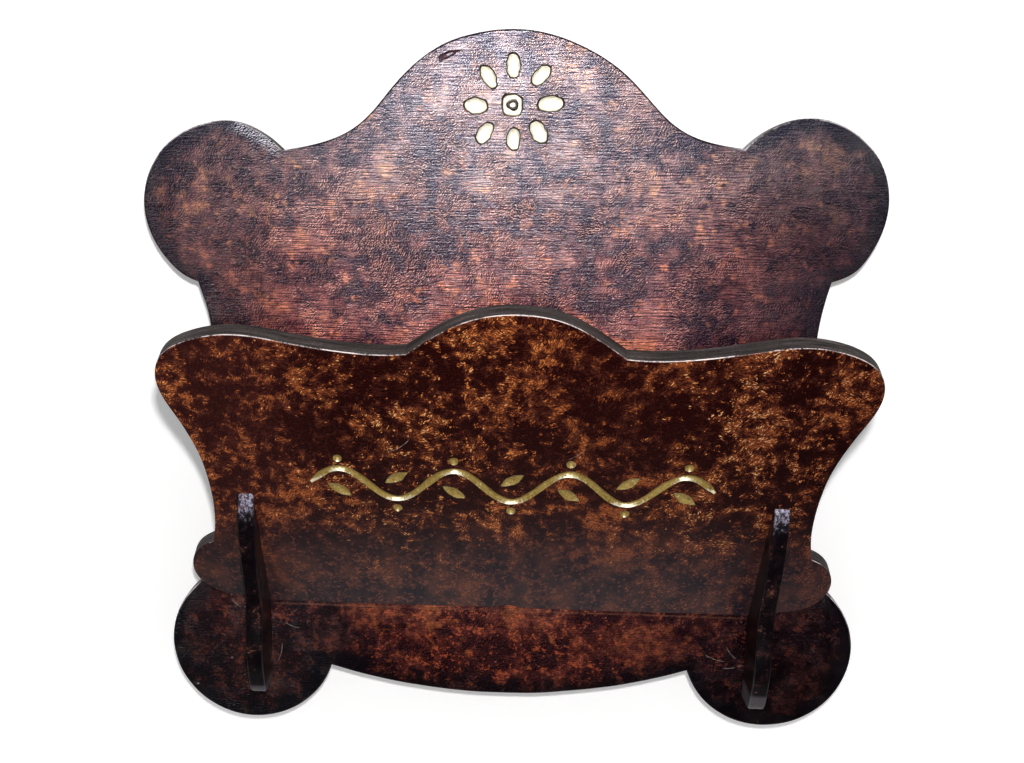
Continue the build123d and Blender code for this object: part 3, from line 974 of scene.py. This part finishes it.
def reverse_finish(name, tilt=0):
    """Thin dark stain over bare grain, on the sides that are hardly seen."""
    paint = Paint(name, tilt)
    lines = paint.noise((26, 4, 0.5), 3, 0.65, distortion=0.15)
    pores = paint.noise((4.5, 2, 0.4), 1, 0.5, shift=(7, 3, 1))
    paint.colour = paint.ramp(
        lines * 0.45 + pores * 0.25 + paint.noise((30, 8, 8), 3) * 0.5,
        (0.4, 0.01, 0.005, 0.004), (0.6, 0.045, 0.018, 0.01), (0.8, 0.12, 0.055, 0.026))
    normal = paint.bump(lines * 0.7 + pores * 0.5, 0.08)
    return paint.finish(Roughness=0.5, Specular_IOR_Level=0.3, Normal=normal)


def gilding(name, tones, cream_highlight, walls):
    """Gold paint in the carving, with the dark finish left on its steep walls and painted shade on
    those facing down, and a cream painted highlight where it faces up.
    """
    paint = Paint(name)
    fine = paint.noise(0.7, 3, 0.7)
    patch = paint.noise(2.6, shift=(2, 2, 2))
    up = paint.up()
    # Gold where the carving is deep, and less on walls facing down, as painted shade
    gold = (paint.mark("cut") + fine * 0.4 + up * 0.3).rise(0.72, 0.86)
    # A cream painted highlight where the gold faces up
    lit = (up + fine * 0.5 + patch * 0.3).rise(0.48, 0.62)
    metal = paint.ramp(fine * 0.7 + patch * 0.3, *tones)
    paint.colour = paint.mix(gold, walls, paint.mix(lit * cream_highlight, metal, (0.93, 0.88, 0.66)))
    return paint.finish(
        Metallic=gold * 0.35, Roughness=0.36, Specular_IOR_Level=0.8, Normal=paint.bump(fine, 0.11))


def metal_finish(name, cloud_size, stops, roughness, ribs, depth):
    """Clouded bare metal, with its roughness given as a start and a spread."""
    paint = Paint(name)
    cloud = paint.noise(cloud_size, 3)
    paint.colour = paint.ramp(cloud, *stops)
    height = paint.noise(ribs, 2, 0.5) if ribs else cloud
    return paint.finish(
        Metallic=1, Roughness=cloud * roughness[1] + roughness[0], Normal=paint.bump(height, depth))


gilt = gilding("gilding", (
    (0.36, 0.2, 0.115, 0.025), (0.45, 0.4, 0.27, 0.065), (0.57, 0.5, 0.35, 0.1),
    (0.66, 0.88, 0.76, 0.42)), 0.9, (0.012, 0.0045, 0.0035))
# The rosette's gilding, paler and creamier: a painted sheen over the gold
gilt_with_painted_sheen = gilding("pale_gilding_painted_sheen", (
    (0.3, 0.44, 0.35, 0.2), (0.38, 0.72, 0.66, 0.49), (0.6, 0.8, 0.76, 0.59)),
    0, (0.022, 0.008, 0.005))
brass = metal_finish("plate_brass", 5, (
    (0.35, 0.22, 0.13, 0.05), (0.5, 0.52, 0.36, 0.14), (0.7, 0.72, 0.54, 0.25)),
    (0.25, 0.3), (0.25, 4, 9), 0.02)
steel = metal_finish("pin_steel", 1.2, (
    (0.35, 0.16, 0.14, 0.13), (0.6, 0.5, 0.48, 0.46)), (0.3, 0.35), None, 0.03)


def make_back_board():
    side = Side("back_board", FRONT_WAY)
    wall = Side("back_board", WALL_WAY)
    pocket = Side("back_board", WALL_WAY, level=-KEYHOLE_FLOOR)
    board = Board(side, (wall.origin - side.origin).length / MM, strays=STRAYS)
    sockets = []
    for loop in wall.loops[1:]:
        loop = onto(side, wall, loop)
        if length_of(loop) > PLATE_LEAST_RIM:
            keyhole = resampled(onto(side, pocket, pocket.loops[0]), KEYHOLE_POINTS)
            hole = Recess([(keyhole, PLATE_DEPTH), (keyhole, KEYHOLE_FLOOR)], REVERSE)
            sockets.append(socket(loop, PLATE_DEPTH, PLATE_POINTS, [hole]))
        else:
            sockets.append(socket(loop, PIN_SOCKET_DEPTH, PIN_SOCKET_POINTS))
    board.build(front=rosette(side), back=sockets)
    materials = [back_board_finish(), reverse_finish("back_board_reverse"), gilt,
                 edge_finish("back_board_edge"), gilt_with_painted_sheen]
    board.piece("rack_back_board", materials, "back_board_finish", "back_board")


def make_front_board():
    side = Side("front_board", FRONT_WAY)
    pocket_side = Side("front_board", -side.out).turned(ASKEW)
    side.turned(ASKEW)
    board = Board(side, -side.out.dot(pocket_side.origin - side.origin) / MM)
    seam = ASKEW @ SEAM_MIDDLE
    sockets = [socket(onto(side, pocket_side, loop), PIN_SOCKET_DEPTH, PIN_SOCKET_POINTS)
               for loop in pocket_side.loops[1:]]
    board.build(front=garland(side, seam), back=sockets)
    # The bevel at the foot, which lies on the back board
    cut = bmesh.ops.bisect_plane(
        board.mesh, geom=board.mesh.verts[:] + board.mesh.edges[:] + board.mesh.faces[:],
        plane_co=seam, plane_no=WALL_WAY, clear_outer=True)
    rim = [item for item in cut["geom_cut"] if isinstance(item, bmesh.types.BMEdge)]
    for face in bmesh.ops.holes_fill(board.mesh, edges=rim)["faces"]:
        face.smooth = False
        face.material_index = REVERSE
    tilt = -math.atan2(side.out.z, side.out.y) - math.pi
    materials = [front_board_finish(tilt), reverse_finish("front_board_reverse", tilt), gilt,
                 edge_finish("front_board_edge", tilt)]
    board.piece("rack_front_board", materials, "front_board_finish", "front_board")


def make_brackets():
    finish = bracket_finish()
    for node in ("left_bracket", "right_bracket"):
        side = Side(node, LEFT_WAY).turned(ASKEW)
        low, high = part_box(node)
        board = Board(side, (high.x - low.x) / MM, BRACKET_ARRIS).build()
        board.piece(f"rack_{node}", [finish, finish, gilt, finish], "bracket_finish", node)


def dress(data, material):
    data.materials.clear()
    data.materials.append(material)


def make_top_pins():
    """The pins that hold the brackets to the front board, moved with them."""
    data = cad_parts["bracket_top_pins"].data.copy()
    data.transform(ASKEW)
    dress(data, steel)
    stand_in(new_object("rack_bracket_top_pins", data), "pin_steel", "bracket_top_pins")


make_back_board()
make_front_board()
make_brackets()
make_top_pins()
for node in ("hanger_plate", "hanger_screws"):
    dress(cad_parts[node].data, brass)
for node in ("seam_pins", "bracket_foot_pins"):
    dress(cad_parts[node].data, steel)

# Camera, placed and turned as the photograph was taken
IMAGE_WIDTH = 1024
FOCAL_PIXELS = 1151.0
AXIS_LEFT_PIXELS = 57.0
CAMERA_PLACE = Vector((-0.0017, -0.4178, 0.0315))
CAMERA_PITCH = math.radians(12.52)
CAMERA_YAW = math.radians(2.57)
CAMERA_ROLL = math.radians(-0.16)


def make_camera():
    data = bpy.data.cameras.new("camera")
    data.lens = FOCAL_PIXELS / IMAGE_WIDTH * data.sensor_width
    data.shift_x = AXIS_LEFT_PIXELS / IMAGE_WIDTH
    data.clip_start, data.clip_end = 0.01, 50.0
    camera = new_object("camera", data)
    camera.matrix_world = Matrix.Translation(CAMERA_PLACE) @ (
        Matrix.Rotation(CAMERA_YAW, 4, "Z") @ Matrix.Rotation(math.pi / 2 - CAMERA_PITCH, 4, "X")
        @ Matrix.Rotation(CAMERA_ROLL, 4, "Z"))
    bpy.context.scene.camera = camera


# Lamps: name, place, size, level and the light that it doesn't give. A level is a share of the plain
# level at which a colour renders as it is written.
LAMPS = (
    ("key", (-0.03, -2.0, 0.27), 0.4, 0.54, "visible_diffuse"),
    ("back", (-0.6, 1.6, 0.9), 0.8, 0.45, None),
    ("fill", (0.012, -0.44, 0.095), 0.02, 0.88, "visible_glossy"),
)
LIT_POINT = Vector((0, 0, -0.05))
AMBIENT = 0.22
FRONT_GLOW = 0.012
BACK_GLOW = 0.35
BACK_GLOW_WAY = (0, 0.6, 0.8)
BACK_GLOW_RANGE = (-0.4, 0.3)


def make_lamps():
    for name, place, size, level, hidden in LAMPS:
        way = LIT_POINT - Vector(place)
        data = bpy.data.lights.new(name, "AREA")
        data.size = size
        data.energy = level * math.pi ** 2 * way.length_squared
        lamp = new_object(name, data)
        lamp.location = place
        lamp.rotation_mode = "QUATERNION"
        lamp.rotation_quaternion = way.to_track_quat("-Z", "Y")
        if hidden:
            setattr(lamp, hidden, False)


def make_world():
    """White where it is seen, dimmer where the rack mirrors the room in front of it."""
    world = bpy.data.worlds.new("studio")
    bpy.context.scene.world = world
    world.use_nodes = True
    nodes = Nodes(world.node_tree)
    path = nodes.outs("LightPath")
    where = nodes.out("TexCoord", output="Generated")
    behind = nodes.vector("DOT_PRODUCT", where, BACK_GLOW_WAY, output="Value")
    glow = behind.rise(*BACK_GLOW_RANGE, FRONT_GLOW, BACK_GLOW)
    mirrored = path["Is Glossy Ray"].most(path["Is Transmission Ray"])
    shown = nodes.out("Mix", {0: mirrored, 2: AMBIENT, 3: glow})
    shown = nodes.out("Mix", {0: path["Is Camera Ray"], 2: shown, 3: 1.0})
    background = nodes.out("Background", {"Color": (1, 1, 1, 1), "Strength": shown})
    nodes.add("OutputWorld", {"Surface": background})


# Stage: a floor below the hung rack, and behind it a sheet that only the camera sees, from the front
FLOOR_DROP = 0.062
FLOOR_CENTRE = Vector((0.0, 0.36, 0.0))
FLOOR_RADIUS = 0.5
SHEET_PLACE = (0.0, 0.008, -0.06)
SHEET_RADIUS = 0.55
DISC_SEGMENTS = 96
STAGE_COLOUR = (0.93, 0.922, 0.92, 1)
# Shares of the radius between which a disc fades out
STAGE_FADE = (0.62, 1.0)
# Where the camera's extra light starts and stops rising, and its strength there
GLOW_REACH = (0.08, 0.26)
GLOW_STRENGTH = (0.15, 0.5)


def stage_disc(name, radius, one_sided):
    """A flat round sheet that fades out at its rim and looks a little brighter to the camera."""
    mesh = bmesh.new()
    bmesh.ops.create_circle(mesh, cap_ends=True, segments=DISC_SEGMENTS, radius=radius)
    disc = new_mesh_object(name, mesh)
    material = bpy.data.materials.new(name)
    material.use_nodes = True
    nodes = Nodes(material.node_tree)
    far = nodes.vector("LENGTH", nodes.out("TexCoord", output="Object"), output="Value")
    clear = far.rise(STAGE_FADE[0] * radius, STAGE_FADE[1] * radius, curve="SMOOTHERSTEP")
    if one_sided:
        clear = clear.most(nodes.out("NewGeometry", output="Backfacing"))
    seen = nodes.out("LightPath", output="Is Camera Ray")
    glow = seen * far.rise(*GLOW_REACH, *GLOW_STRENGTH, curve="LINEAR")
    glow = nodes.out("Emission", {"Color": (1, 1, 1, 1), "Strength": glow})
    matt = nodes.out("BsdfDiffuse", {"Color": STAGE_COLOUR})
    solid = nodes.out("AddShader", {0: matt, 1: glow})
    surface = nodes.out("MixShader", {0: clear, 1: solid, 2: nodes.out("BsdfTransparent")})
    nodes.add("OutputMaterial", {"Surface": surface})
    disc.data.materials.append(material)
    return disc


def make_stage():
    floor = stage_disc("floor", FLOOR_RADIUS, False)
    floor.location = FLOOR_CENTRE + Vector((0, 0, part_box("back_board")[0].z - FLOOR_DROP))
    sheet = stage_disc("sheet", SHEET_RADIUS, True)
    sheet.location = SHEET_PLACE
    sheet.rotation_euler = (math.pi / 2, 0, 0)
    for ray in ("diffuse", "glossy", "shadow", "transmission"):
        setattr(sheet, f"visible_{ray}", False)


make_camera()
make_lamps()
make_world()
make_stage()
bpy.context.scene.view_settings.view_transform = "Standard"
